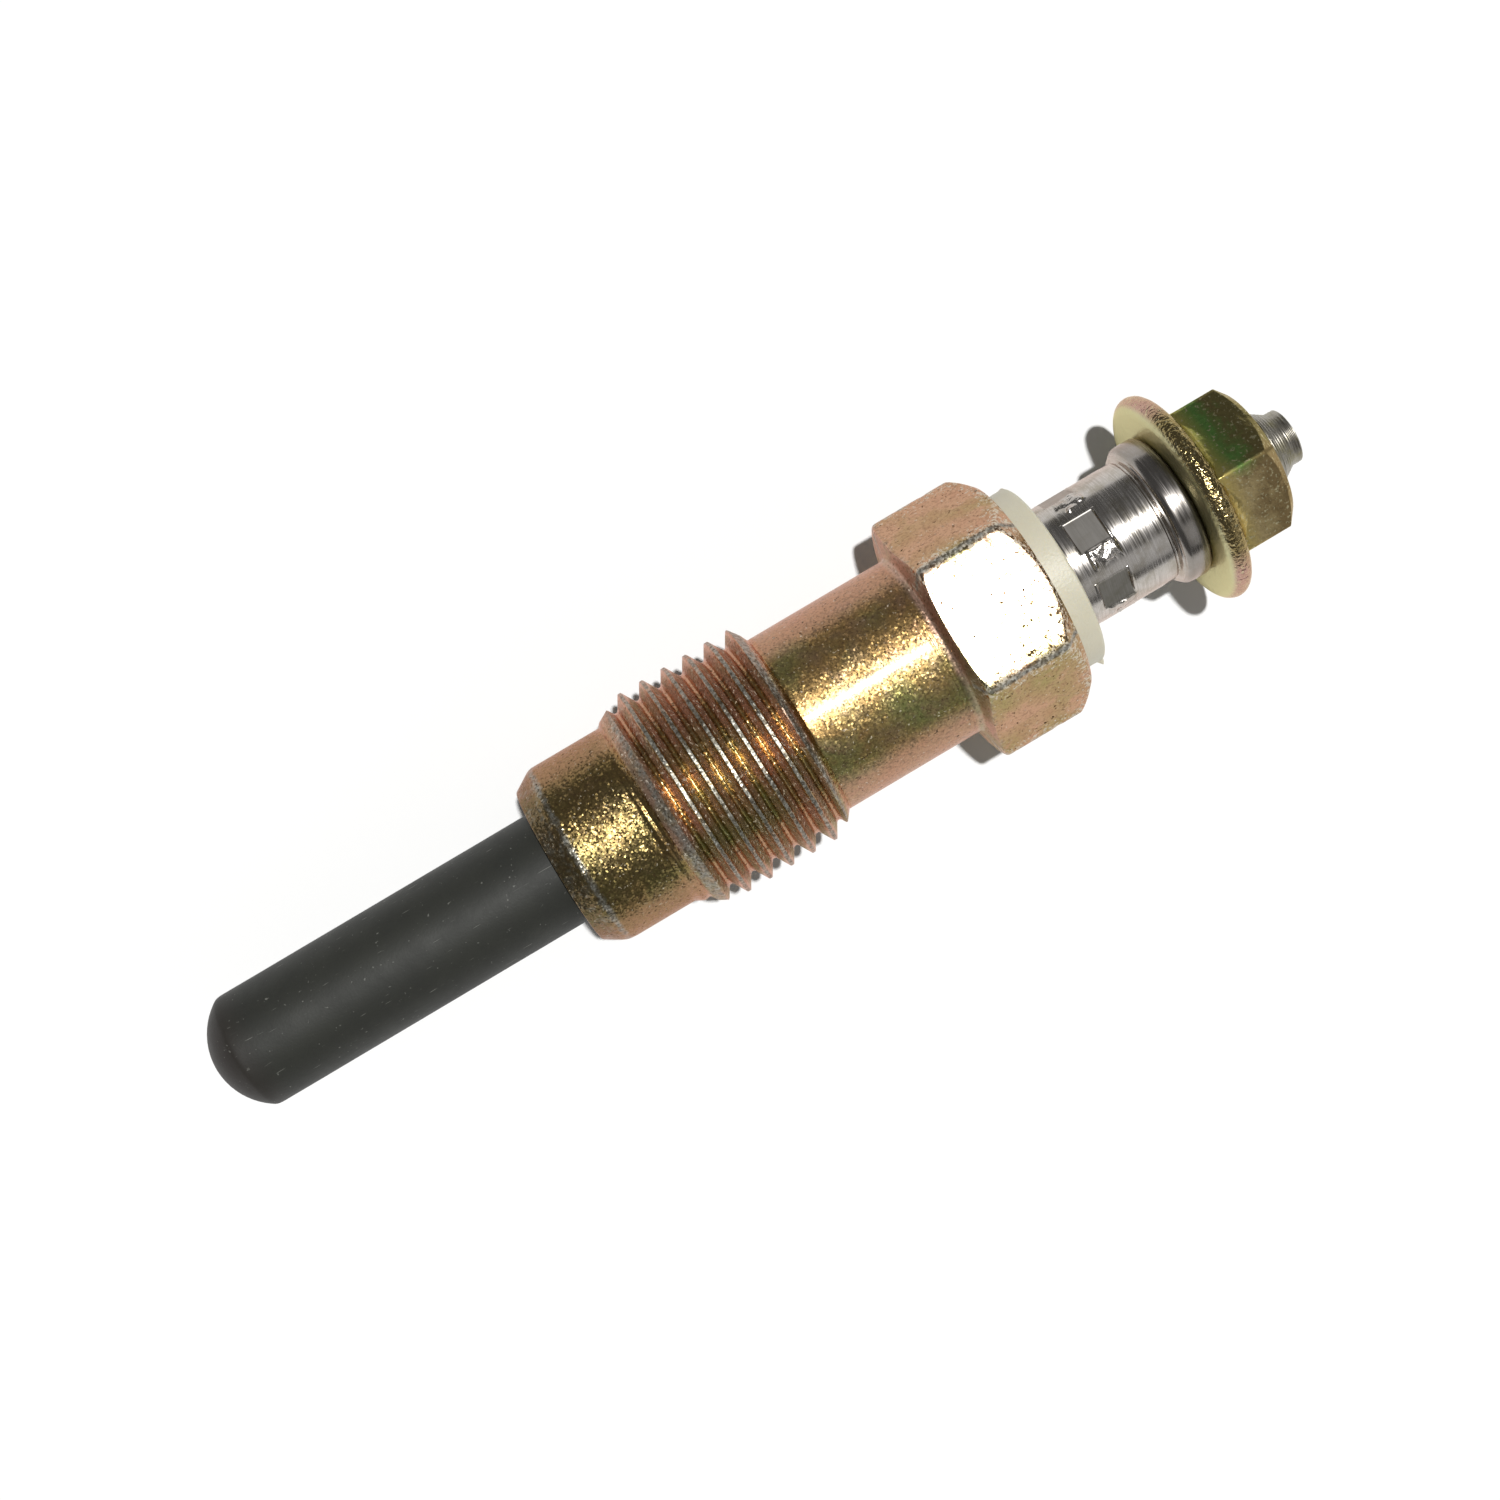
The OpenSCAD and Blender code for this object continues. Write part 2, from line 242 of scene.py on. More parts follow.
speck_noise = add(oxide, "TexNoise", {}, {"Vector": place, "Scale": 1000 / 0.22, "Detail": 1.0})
speck = add(oxide, "MapRange", {}, {
    "Value": speck_noise, "From Min": 0.72, "From Max": 0.80, "To Max": 0.6})
scratch_place = add(oxide, "Mapping", {}, {
    "Vector": place, "Rotation": (0.4, 0.9, 0.8), "Scale": (1000 / 1.1, 1000 / 0.1, 1000 / 0.1)})
scratch_noise = add(oxide, "TexNoise", {}, {"Vector": scratch_place, "Scale": 1.0, "Detail": 1.0})
scratch = add(oxide, "MapRange", {}, {
    "Value": scratch_noise, "From Min": 0.74, "From Max": 0.80, "To Max": 0.55})
broken = add(oxide, "Math", {"operation": "MAXIMUM"}, {"Value": speck, "Value_001": scratch})
broken_colour = add(oxide, "Mix", rgba, {
    "Factor": broken, "A_Color": tinted, "B_Color": linear("#7d7d76")})
fine_grain = add(oxide, "TexNoise", {}, {
    "Vector": place, "Scale": 1000 / 0.12, "Detail": 4.0, "Roughness": 0.6})
oxide_bump = add(oxide, "Bump", {}, {"Height": fine_grain, "Distance": 0.000010, "Strength": 0.8})
oxide_gloss = add(oxide, "MapRange", {}, {
    "Value": skin_cloud, "From Min": 0.3, "From Max": 0.7, "To Min": 0.62, "To Max": 0.52})
add(oxide, "BsdfPrincipled", {}, {
    "Base Color": broken_colour, "Roughness": oxide_gloss, "Specular IOR Level": 0.35,
    "Normal": oxide_bump})

tube_r = 3.05
tube_in_r = 2.45
tube_tip = -19.6
tube_end = 12.5
dome_start = -17.86
dome_r = 3.543
dome_wall = 0.9
skin_from_r = 2.9
skin_wave = 0.006
tube_angles = np.linspace(0, 2 * math.pi, 192, endpoint=False)
dome_turn = np.linspace(0, math.asin(tube_r / dome_r), 14)
hollow_r = dome_r - dome_wall
hollow_turn = np.linspace(math.asin(tube_in_r / hollow_r), 0, 10)
tube_outline = [(tube_tip + dome_r * (1 - math.cos(t)), dome_r * math.sin(t), 0, 0)
                for t in dome_turn[:-1]]
tube_outline += [(dome_start, tube_r, 0.3, 90), (tube_end, tube_r, 0.15, 0),
                 (tube_end, tube_in_r, 0.05, 8)]
tube_outline += [(tube_tip + dome_r - hollow_r * math.cos(t), hollow_r * math.sin(t), 0, 0)
                 for t in hollow_turn]
tube_x, tube_rr = outline_rows(tube_outline, False, len(tube_angles))
tube_rr = tube_rr + skin_wave * clouds(tube_x, tube_angles, 0.5, 1.0) * (tube_rr > skin_from_r)
make_piece("glow_tube_shell", round_points(tube_x, tube_rr, tube_angles),
           grid_faces(*tube_rr.shape, False), {}, oxide, "glow_tube")

# The heating coil and the regulating coil are wound from drawn resistance wire, the first
# welded inside the tube's tip and the second pressed onto the end of the terminal pin.
# Drawn wire: dull grey metal with die lines along it and a straw tint from the heat.
drawn_wire = new_finish("drawn_resistance_wire")
place = add(drawn_wire, "TexCoord", {}, {}).outputs["Object"]
heat_cloud = add(drawn_wire, "TexNoise", {}, {"Vector": place, "Scale": 1000 / 1.5, "Detail": 3.0})
heat_colour = add(drawn_wire, "Mix", rgba, {
    "Factor": heat_cloud, "A_Color": linear("#8d8678"), "B_Color": linear("#a08c62")})
die_lines = add(drawn_wire, "TexNoise", {}, {"Vector": place, "Scale": 1000 / 0.06})
die_bump = add(drawn_wire, "Bump", {}, {"Height": die_lines, "Distance": 0.000003})
add(drawn_wire, "BsdfPrincipled", {}, {
    "Base Color": heat_colour, "Metallic": 1.0, "Roughness": 0.38, "Normal": die_bump})
for coil in ("heating_coil", "regulating_coil"):
    for coil_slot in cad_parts[coil].material_slots:
        coil_slot.material = drawn_wire

# The insulating powder is magnesia, shaken into the tube round the coils and packed hard
# when the tube is swaged. Packed magnesia: off-white and dead matt, with a sandy grain.
packed_magnesia = new_finish("packed_magnesia_powder")
place = add(packed_magnesia, "TexCoord", {}, {}).outputs["Object"]
sand = add(packed_magnesia, "TexNoise", {}, {"Vector": place, "Scale": 1000 / 0.15, "Detail": 4.0})
sand_colour = add(packed_magnesia, "Mix", rgba, {
    "Factor": sand, "A_Color": linear("#cbc7bb"), "B_Color": linear("#e2dfd6")})
sand_bump = add(packed_magnesia, "Bump", {}, {"Height": sand, "Distance": 0.00002})
add(packed_magnesia, "BsdfPrincipled", {}, {
    "Base Color": sand_colour, "Roughness": 0.95, "Normal": sand_bump})
for powder_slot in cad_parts["insulating_powder"].material_slots:
    powder_slot.material = packed_magnesia

# The tube seal is a moulded rubber plug in the open end of the tube, and the body seal a
# moulded rubber ring under the washer. Both are squeezed round the terminal pin.
# Moulded rubber: black and softly matt, with a grey bloom.
moulded_rubber = new_finish("moulded_black_rubber")
place = add(moulded_rubber, "TexCoord", {}, {}).outputs["Object"]
bloom = add(moulded_rubber, "TexNoise", {}, {"Vector": place, "Scale": 1000 / 0.8, "Detail": 4.0})
bloom_colour = add(moulded_rubber, "Mix", rgba, {
    "Factor": bloom, "A_Color": linear("#1c1c1c"), "B_Color": linear("#2c2b29")})
bloom_bump = add(moulded_rubber, "Bump", {}, {"Height": bloom, "Distance": 0.00001})
add(moulded_rubber, "BsdfPrincipled", {}, {
    "Base Color": bloom_colour, "Roughness": 0.7, "Normal": bloom_bump})
for rubber in ("tube_seal", "body_seal"):
    for rubber_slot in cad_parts[rubber].material_slots:
        rubber_slot.material = moulded_rubber

# The terminal pin is turned from free-cutting steel: a grip for the coil, a stem inside the tube,
# a thicker core inside the body, and an M5 thread that ends in a taper and a short pilot.
# Turned steel: silver grey with an olive stain, and the fine rings that the tool leaves round the axis.
turned_steel = new_finish("turned_pin_steel")
place = add(turned_steel, "TexCoord", {}, {}).outputs["Object"]
ring_place = add(turned_steel, "Mapping", {}, {
    "Vector": place, "Scale": (1000 / 0.12, 1000 / 4.0, 1000 / 4.0)})
rings = add(turned_steel, "TexNoise", {}, {"Vector": ring_place, "Scale": 1.0, "Detail": 3.0})
ring_tone = add(turned_steel, "Mix", rgba, {
    "Factor": rings, "A_Color": linear("#77736a"), "B_Color": linear("#bdb8ae")})
stain_cloud = add(turned_steel, "TexNoise", {}, {
    "Vector": place, "Scale": 1000 / 0.7, "Detail": 4.0, "Roughness": 0.6})
stain = add(turned_steel, "MapRange", {}, {
    "Value": stain_cloud, "From Min": 0.45, "From Max": 0.7, "To Max": 0.7})
stain_colour = add(turned_steel, "Mix", rgba, {
    "Factor": stain, "A_Color": ring_tone, "B_Color": linear("#8a8462")})
ring_bump = add(turned_steel, "Bump", {}, {"Height": rings, "Distance": 0.00003})
ring_gloss = add(turned_steel, "MapRange", {}, {
    "Value": stain_cloud, "From Min": 0.3, "From Max": 0.7, "To Min": 0.3, "To Max": 0.45})
add(turned_steel, "BsdfPrincipled", {}, {
    "Base Color": stain_colour, "Metallic": 1.0, "Roughness": ring_gloss, "Normal": ring_bump})

grip_from = 1.8
grip_r = 1.0
stem_from = 4.0
stem_to = 13.5
stem_r = 1.4
core_from = 14.3
core_r = 2.2
stud_r = 2.45
stud_pitch = 0.8
stud_depth = 0.42
stud_start = 28.7
stud_end = 40.45
groove_end = 41.4
groove_fade = 0.4
point_end = 41.95
pin_end = 42.5
pilot_r = 1.46
tool_pitch = 0.16
tool_height = 0.018
tool_from_r = 1.2
pin_outline = [
    (grip_from, 0.0, 0, 0), (grip_from, grip_r, 0.1, 2), (stem_from, grip_r, 0, 0),
    (stem_from, stem_r, 0.08, 6), (stem_to, stem_r, 0.1, 2), (core_from, core_r, 0.1, 10),
    (stud_start, core_r, 0, 0), (stud_start, stud_r, 0.05, 190), (stud_end, stud_r, 0.06, 75),
    (point_end, pilot_r, 0.06, 28), (pin_end, pilot_r, 0.1, 4), (pin_end, 0.0, 0, 0)]
pin_angles = np.linspace(0, 2 * math.pi, 128, endpoint=False)
pin_x, pin_r = outline_rows(pin_outline, False, len(pin_angles))
stud_phase = np.abs(((pin_x / stud_pitch - pin_angles / (2 * math.pi)) % 1.0) - 0.5) * 2
stud_groove = np.clip((stud_phase - 0.12) / 0.76, 0, 1)
stud_zone = np.clip((pin_x - stud_start - 0.2) / groove_fade, 0, 1)
stud_zone = stud_zone * np.clip((groove_end - pin_x) / groove_fade, 0, 1)
groove_cut = (stud_depth * stud_groove - (stud_r - pin_r)).clip(0) * stud_zone
pin_r = np.where(pin_x > stud_start, np.minimum(pin_r, pin_r - groove_cut), pin_r)
tool_ring = np.sin(2 * math.pi * (pin_x / tool_pitch + 0.35 * clouds(pin_x, pin_angles, 2.0, 1.2)))
on_point = (pin_x > stud_end + 0.05) & (pin_x < pin_end - 0.02) & (pin_r > tool_from_r)
pin_r = pin_r + tool_height * tool_ring * on_point
make_piece("terminal_pin_turned", round_points(pin_x, pin_r, pin_angles), grid_faces(*pin_r.shape, False),
           {}, turned_steel, "terminal_pin")

# The body is turned from hexagon bar: a conical sealing seat, a plain shank, a rolled
# M12 x 1.25 thread, a second shank and the hexagon. It is bored through for the tube and
# counterbored for the seal and the washer, then zinc plated and yellow chromated.
shank_r = 4.925
seat_r = 4.245
seat_len = 1.1
thread_from = 4.9
thread_to = 13.85
thread_r = 5.9
thread_pitch = 1.25
thread_depth = 0.78
thread_lead = 1.75
thread_run_out = 0.75
crest_at = 6.876
hex_start = 21.65
hex_end = 27.3
hex_flat = 5.9
hex_corner = 6.683
hex_face_r = 5.8
hex_lean = 0.35
hex_chamfer = 0.85
corner_ease = 0.035
corner_soft = 0.05
fillet = 0.4
bore_r = 3.06
counterbore_r = 4.0
counterbore_floor = 21.9
tool_lines = [(20.98, 21.02, 21.06, 0.014, 2), (21.16, 21.19, 21.22, 0.010, 0)]
outside_r = 4.1
hex_inside_r = 5.3
edge_dent_depth = 0.10
seat_dent_depth = 0.06
corner_wear_share = 0.62
scuff_share = 0.36
seat_wear_share = 0.6
cone_wear_share = 0.32
front_gloss, rear_gloss, flat_gloss, thread_gloss = 0.33, 0.39, 0.24, 0.28
front_grain, rear_grain, flat_grain, thread_grain = 0.75, 0.5, 0.12, 0.6


def corner_angles(first):
    """Angles round a hexagon whose corners start at first degrees, closer together at the corners."""
    half = [0, 0.5, 1, 1.5, 2, 2.5, 3, 4, 5.5, 7.5, 10, 13, 16, 19, 22, 25, 28]
    offsets = sorted({-o for o in half} | set(half) | {30})
    return np.radians(sorted((first + 60 * k + o) % 360 for k in range(6) for o in offsets))


def hexagon_radius(angles, first, flat, corner, soft):
    """Radius of a hexagon bar at each angle, with its corners turned down and rounded."""
    turn = (np.degrees(angles) - first + 30) % 60 - 30
    sides = flat / np.cos(np.radians(30 - np.abs(turn)))
    least = np.minimum(sides, corner)
    return least - soft * np.log(np.exp((least - sides) / soft) + np.exp((least - corner) / soft))


body_angles = corner_angles(0)
corner_turn = np.abs((np.degrees(body_angles) + 30) % 60 - 30)
near_corner = np.exp(-(corner_turn / 5) ** 2)
hex_r = hexagon_radius(body_angles, 0, hex_flat, hex_corner + corner_ease, corner_soft)
shoulder_x = hex_start + hex_lean * (hex_r - shank_r - fillet) / (hex_corner - shank_r - fillet)
chamfer_x = hex_end - hex_chamfer * np.clip((hex_r - hex_face_r) / (hex_corner - hex_face_r), 0.1, 1)
body_outline = [(thread_to, shank_r, 0, 60)]
for line_from, line_floor, line_to, line_depth, cuts in tool_lines:
    body_outline += [(line_from, shank_r, 0, 0), (line_floor, shank_r - line_depth, 0, 0),
                     (line_to, shank_r, 0, cuts)]
body_outline += [
    (hex_start, shank_r, fillet, 2), (shoulder_x, hex_r, 0.06 + 0.2 * near_corner, 40),
    (chamfer_x, hex_r, 0.06 + 0.12 * near_corner, 3), (hex_end, hex_face_r, 0.04, 4),
    (hex_end, counterbore_r, 0.1, 6), (counterbore_floor, counterbore_r, 0, 2),
    (counterbore_floor, bore_r, 0.1, 10), (0.0, bore_r, 0.22, 2), (0.0, seat_r, 0.06, 12),
    (seat_len, shank_r, 0.24, 40), (thread_from, shank_r, 0, 0)]
body_x, body_r = outline_rows(body_outline, False, len(body_angles))
outer = body_r > outside_r
on_hexagon = outer & (body_x > hex_start) & (body_x <= hex_end) & (body_r > hex_inside_r)
dents = clouds(body_x, body_angles, 1.3, 7.0)
edge_dent = on_hexagon * near_corner * np.clip(dents - 0.15, 0, 1)
seat_dent = (outer & (np.abs(body_x - seat_len) < 0.4)) * np.clip(dents - 0.1, 0, 1)
body_r = body_r - edge_dent_depth * edge_dent - seat_dent_depth * seat_dent
body_points = round_points(body_x, body_r, body_angles)
body_faces = grid_faces(*body_r.shape, False)

corner_wear = on_hexagon * np.exp(-(corner_turn / 2.2) ** 2) * corner_wear_share
front_scuff = on_hexagon * np.exp(-((body_x - shoulder_x - 0.1) / 0.25) ** 2) * scuff_share
seat_band = np.exp(-((body_x - seat_len - 0.08) / 0.26) ** 2)
seat_wear = outer * (body_x < 2) * seat_band * seat_wear_share
cone_wear = outer * (body_x < seat_len) * cone_wear_share
body_wear = np.max([corner_wear, front_scuff, seat_wear, cone_wear], axis=0).ravel()
shoulder_zone = (body_x > hex_start - fillet) & (body_x < shoulder_x + 0.02) & (body_r < hex_flat + 0.5)
body_grime = (outer & shoulder_zone).astype(float).ravel()
end_reach = np.exp(-((chamfer_x - body_x) / 0.6) ** 2)
body_edge = (on_hexagon * np.maximum(np.exp(-(corner_turn / 7) ** 2), end_reach)).ravel()
at_front = body_x < thread_from + 0.1
on_shank = body_x < hex_start
body_gloss = np.where(at_front, front_gloss, np.where(on_shank, rear_gloss, flat_gloss)).ravel()
body_grain = np.where(at_front, front_grain, np.where(on_shank, rear_grain, flat_grain)).ravel()

# The thread's rows follow its helix, so that its crests and its round roots are clean lines.
crest_half = 0.08
root_round = 0.05
crest_round = 0.012
faint_depth = 0.13
crest_dent_depth = 0.035
worn_from_r = 5.25
flank_from_r = 5.16
lead_wear = 0.52
lead_to = 6.8
crest_wear = 0.66
flank_dust = 0.4
phases = [0.0, 0.04, 0.06, 0.08, 0.11, 0.17, 0.23, 0.29, 0.34, 0.38, 0.41, 0.435, 0.46, 0.48, 0.50,
          0.52, 0.54, 0.565, 0.59, 0.62, 0.66, 0.71, 0.77, 0.83, 0.89, 0.92, 0.94, 0.96]
turns = range(-4, 7)
row_phase = np.array([t + p for t in turns for p in phases])
closed_angles = np.append(body_angles, 2 * math.pi)
thread_x = crest_at + thread_pitch * (row_phase[:, None] + closed_angles[None, :] / (2 * math.pi))
thread_x = np.clip(thread_x, thread_from, thread_to)
phase = (thread_x - crest_at) / thread_pitch - closed_angles[None, :] / (2 * math.pi)
off_crest = np.abs((phase + 0.5) % 1.0 - 0.5)
flank_drop = np.clip(off_crest * thread_pitch - crest_half, 0, None) / math.tan(math.radians(30))
root_share = math.exp(-thread_depth / root_round)
groove_r = thread_r + root_round * np.log(np.exp(-flank_drop / root_round) + root_share)
lead_r = shank_r + (thread_r - shank_r) * (thread_x - thread_from) / thread_lead
run_out_r = shank_r + (thread_r - shank_r) * (thread_to - thread_x) / thread_run_out
cover_r = np.minimum(np.minimum(lead_r, run_out_r), thread_r)
crest_sum = np.exp(-(groove_r - 5) / crest_round) + np.exp(-(cover_r - 5) / crest_round)
thread_rr = 5 - crest_round * np.log(crest_sum)
faint_groove = cover_r - faint_depth * np.clip((off_crest - 0.28) / 0.14, 0, 1)
thread_rr = np.maximum(np.minimum(thread_rr, faint_groove), shank_r)
thread_rr = np.where((thread_x <= thread_from) | (thread_x >= thread_to), shank_r, thread_rr)
crest_noise = clouds(thread_x, closed_angles, 1.6, 6.0)
on_crest = np.clip((thread_rr - cover_r + 0.15) / 0.15, 0, 1)
inside_thread = (thread_x > thread_from + 0.02) & (thread_x < thread_to - 0.02)
thread_rr = thread_rr - inside_thread * on_crest * crest_dent_depth * np.clip(crest_noise, 0, 1)
thread_points = round_points(thread_x, thread_rr, closed_angles)
rows, count = thread_rr.shape
i = np.arange(rows - 1)[:, None]
j = np.arange(count - 1)[None, :]
thread_corners = [i * count + j, i * count + j + 1, (i + 1) * count + j + 1, (i + 1) * count + j]
thread_faces = np.stack(np.broadcast_arrays(*thread_corners), axis=-1).reshape(-1, 4)
worn_height = np.clip((thread_rr - worn_from_r) / 0.2, 0, 1)
wear_most = np.where(thread_x < lead_to, lead_wear, crest_wear)
thread_wear = (on_crest * inside_thread * worn_height * wear_most).ravel()
flank_share = np.clip((thread_r - thread_rr - 0.1) / 0.15, 0, 1)
flank_share = flank_share * np.clip((thread_rr - flank_from_r) / 0.12, 0, 1)
thread_grime = (flank_share * inside_thread).ravel()

all_points = np.concatenate([body_points, thread_points])
all_faces = np.concatenate([body_faces, thread_faces + len(body_points)])
body_marks = {"wear": np.concatenate([body_wear, thread_wear]),
              "grime": np.concatenate([body_grime, thread_grime]),
              "edge": np.concatenate([body_edge, flank_dust * thread_grime]),
              "gloss": np.concatenate([body_gloss, np.full(len(thread_grime), thread_gloss)]),
              "grain": np.concatenate([body_grain, np.full(len(thread_grime), thread_grain)])}

# Yellow-chromated zinc: a thin gold film over bright zinc crystals that sparkle one by one, with a
# clear gloss on the rear shank. It is olive on one side, dull in the grooves and sooty at the front
# end. Pink towards the sides is a painted grazing-angle sheen, and the soot thins there to keep it.
# Pale dust gathers on the hexagon's edges and the thread's flanks,
# and the edges and the crests are worn to spotted grey zinc.
zinc = new_finish("yellow_chromated_zinc")
place = add(zinc, "TexCoord", {}, {}).outputs["Object"]
along = add(zinc, "SeparateXYZ", {}, {"Vector": place})
film_cloud = add(zinc, "TexNoise", {}, {
    "Vector": place, "Scale": 1000 / 2.2, "Detail": 4.0, "Roughness": 0.6})
olive_side = add(zinc, "MapRange", {}, {
    "Value": along.outputs["Y"], "From Max": -0.003, "To Min": -0.02, "To Max": 0.11})
film_sum = add(zinc, "Math", {"operation": "ADD"}, {"Value": film_cloud, "Value_001": olive_side})
film_share = add(zinc, "MapRange", {}, {"Value": film_sum, "From Min": 0.45, "From Max": 0.66})
shank_share = add(zinc, "MapRange", {}, {
    "Value": along.outputs["X"], "From Min": 0.0214, "From Max": 0.0217, "To Min": 1.0, "To Max": 0.3})
gold_film = add(zinc, "Mix", rgba, {
    "Factor": shank_share, "A_Color": linear("#bf9f87"), "B_Color": linear("#a98a58")})
film = add(zinc, "Mix", rgba, {
    "Factor": film_share, "A_Color": gold_film, "B_Color": linear("#8d9257")})
# Painted sheen: the film turns pink towards the sides, most on the shanks, a grazing-angle sheen painted
# into the colour.
side_reach = add(zinc, "Math", {"operation": "ABSOLUTE"}, {"Value": along.outputs["Y"]})
painted_sheen_reach = add(zinc, "MapRange", {}, {
    "Value": side_reach, "From Min": 0.0031, "From Max": 0.0039, "To Max": 0.7})
pink_sheen_share = add(zinc, "Math", {"operation": "MULTIPLY"}, {
    "Value": painted_sheen_reach, "Value_001": shank_share})
film_with_painted_sheen = add(zinc, "Mix", rgba, {
    "Factor": pink_sheen_share, "A_Color": film, "B_Color": linear("#b78a74")})
red_cloud = add(zinc, "TexNoise", {}, {
    "Vector": place, "Scale": 1000 / 1.1, "Detail": 4.0, "Roughness": 0.6})
red_share = add(zinc, "MapRange", {}, {
    "Value": red_cloud, "From Min": 0.46, "From Max": 0.70, "To Max": 0.6})
red_film = add(zinc, "Mix", rgba, {
    "Factor": red_share, "A_Color": film_with_painted_sheen, "B_Color": linear("#b58872")})
grime_mark = add(zinc, "Attribute", {"attribute_name": "grime"}, {}).outputs["Fac"]
grime_tone = add(zinc, "Mix", rgba, {
    "Factor": film_share, "A_Color": linear("#c2a08c"), "B_Color": linear("#a89f7c")})
groove_film = add(zinc, "Mix", rgba, {
    "Factor": grime_mark, "A_Color": red_film, "B_Color": grime_tone})
# The soot thins towards the sides, where the painted pink sheen lies.
soot_most = add(zinc, "MapRange", {}, {
    "Value": painted_sheen_reach, "From Max": 0.7, "To Min": 0.78, "To Max": 0.5})
soot_share = add(zinc, "MapRange", {}, {
    "Value": along.outputs["X"], "From Min": 0.0062, "From Max": 0.0045, "To Max": soot_most})
sooted = add(zinc, "Mix", rgba, {
    "Factor": soot_share, "A_Color": groove_film, "B_Color": linear("#736540")})
cone_share = add(zinc, "MapRange", {}, {
    "Value": along.outputs["X"], "From Min": 0.0011, "From Max": 0.0007, "To Max": 0.5})
cone_soot = add(zinc, "Mix", rgba, {
    "Factor": cone_share, "A_Color": sooted, "B_Color": linear("#5a5546")})
stipple = add(zinc, "TexNoise", {}, {"Vector": place, "Scale": 1000 / 0.16, "Roughness": 0.6})
stipple_share = add(zinc, "MapRange", {}, {
    "Value": stipple, "From Min": 0.52, "From Max": 0.30, "To Max": 0.6})
stippled = add(zinc, "Mix", rgba, {
    "Factor": stipple_share, "A_Color": cone_soot, "B_Color": linear("#6d573f")})
dust_noise = add(zinc, "TexNoise", {}, {
    "Vector": place, "Scale": 1000 / 0.2, "Detail": 3.0, "Roughness": 0.7})
edge_mark = add(zinc, "Attribute", {"attribute_name": "edge"}, {}).outputs["Fac"]
dust_lean = add(zinc, "MapRange", {}, {"Value": edge_mark, "To Max": 0.16})
dust_sum = add(zinc, "Math", {"operation": "ADD"}, {"Value": dust_noise, "Value_001": dust_lean})
dust = add(zinc, "MapRange", {}, {"Value": dust_sum, "From Min": 0.64, "From Max": 0.72, "To Max": 0.7})
dusty = add(zinc, "Mix", rgba, {
    "Factor": dust, "A_Color": stippled, "B_Color": linear("#e0d8c4")})
pit_noise = add(zinc, "TexNoise", {}, {
    "Vector": place, "Scale": 1000 / 0.24, "Detail": 3.0, "Roughness": 0.6})
fleck_at = add(zinc, "Math", {"operation": "SUBTRACT"}, {
    "Value": along.outputs["X"], "Value_001": along.outputs["Y"]})
fleck_lean = add(zinc, "MapRange", {}, {
    "Value": fleck_at, "From Min": 0.0235, "From Max": 0.0290, "To Max": 0.09})
top_lean = add(zinc, "MapRange", {}, {
    "Value": along.outputs["Z"], "From Min": 0.0056, "From Max": 0.0058, "To Max": fleck_lean})
pit_sum = add(zinc, "Math", {"operation": "SUBTRACT"}, {"Value": pit_noise, "Value_001": top_lean})
pit = add(zinc, "MapRange", {}, {"Value": pit_sum, "From Min": 0.37, "From Max": 0.31, "To Max": 0.9})
pitted = add(zinc, "Mix", rgba, {"Factor": pit, "A_Color": dusty, "B_Color": linear("#57462f")})
wear_mark = add(zinc, "Attribute", {"attribute_name": "wear"}, {}).outputs["Fac"]
wear_noise = add(zinc, "TexNoise", {}, {
    "Vector": place, "Scale": 1000 / 0.45, "Detail": 5.0, "Roughness": 0.7})
wear_sum = add(zinc, "Math", {"operation": "ADD"}, {"Value": wear_mark, "Value_001": wear_noise})
worn = add(zinc, "MapRange", {}, {
    "Value": wear_sum, "From Min": 0.80, "From Max": 1.15, "To Max": 0.95})
spot_noise = add(zinc, "TexNoise", {}, {"Vector": place, "Scale": 1000 / 0.16, "Roughness": 0.6})
spot = add(zinc, "MapRange", {}, {"Value": spot_noise, "From Min": 0.36, "From Max": 0.62})
bare_zinc = add(zinc, "Mix", rgba, {
    "Factor": spot, "A_Color": linear("#6a665c"), "B_Color": linear("#acaca4")})
zinc_colour = add(zinc, "Mix", rgba, {"Factor": worn, "A_Color": pitted, "B_Color": bare_zinc})
worn_dull = add(zinc, "MapRange", {}, {
    "Value": along.outputs["X"], "From Min": 0.0214, "From Max": 0.0217, "To Min": 0.5, "To Max": 0.7})
worn_gloss = add(zinc, "MapRange", {}, {"Value": worn, "To Max": worn_dull})
groove_gloss = add(zinc, "MapRange", {}, {"Value": grime_mark, "To Max": 0.5})
pit_gloss = add(zinc, "MapRange", {}, {"Value": pit, "From Max": 0.9, "To Max": 0.75})
dust_gloss = add(zinc, "MapRange", {}, {"Value": dust, "From Max": 0.7, "To Max": 0.7})
speck_gloss = add(zinc, "Math", {"operation": "MAXIMUM"}, {"Value": dust_gloss, "Value_001": pit_gloss})
dull_gloss = add(zinc, "Math", {"operation": "MAXIMUM"}, {
    "Value": groove_gloss, "Value_001": speck_gloss})
rough_gloss = add(zinc, "Math", {"operation": "MAXIMUM"}, {
    "Value": worn_gloss, "Value_001": dull_gloss})
film_gloss = add(zinc, "Attribute", {"attribute_name": "gloss"}, {}).outputs["Fac"]
zinc_gloss = add(zinc, "Math", {"operation": "MAXIMUM"}, {
    "Value": rough_gloss, "Value_001": film_gloss})
grain_mark = add(zinc, "Attribute", {"attribute_name": "grain"}, {}).outputs["Fac"]
crystals = add(zinc, "TexVoronoi", {}, {"Vector": place, "Scale": 1000 / 0.09})
lean = add(zinc, "VectorMath", {"operation": "SUBTRACT"}, {
    "Vector": crystals.outputs["Color"], "Vector_001": (0.5, 0.5, 0.5)})
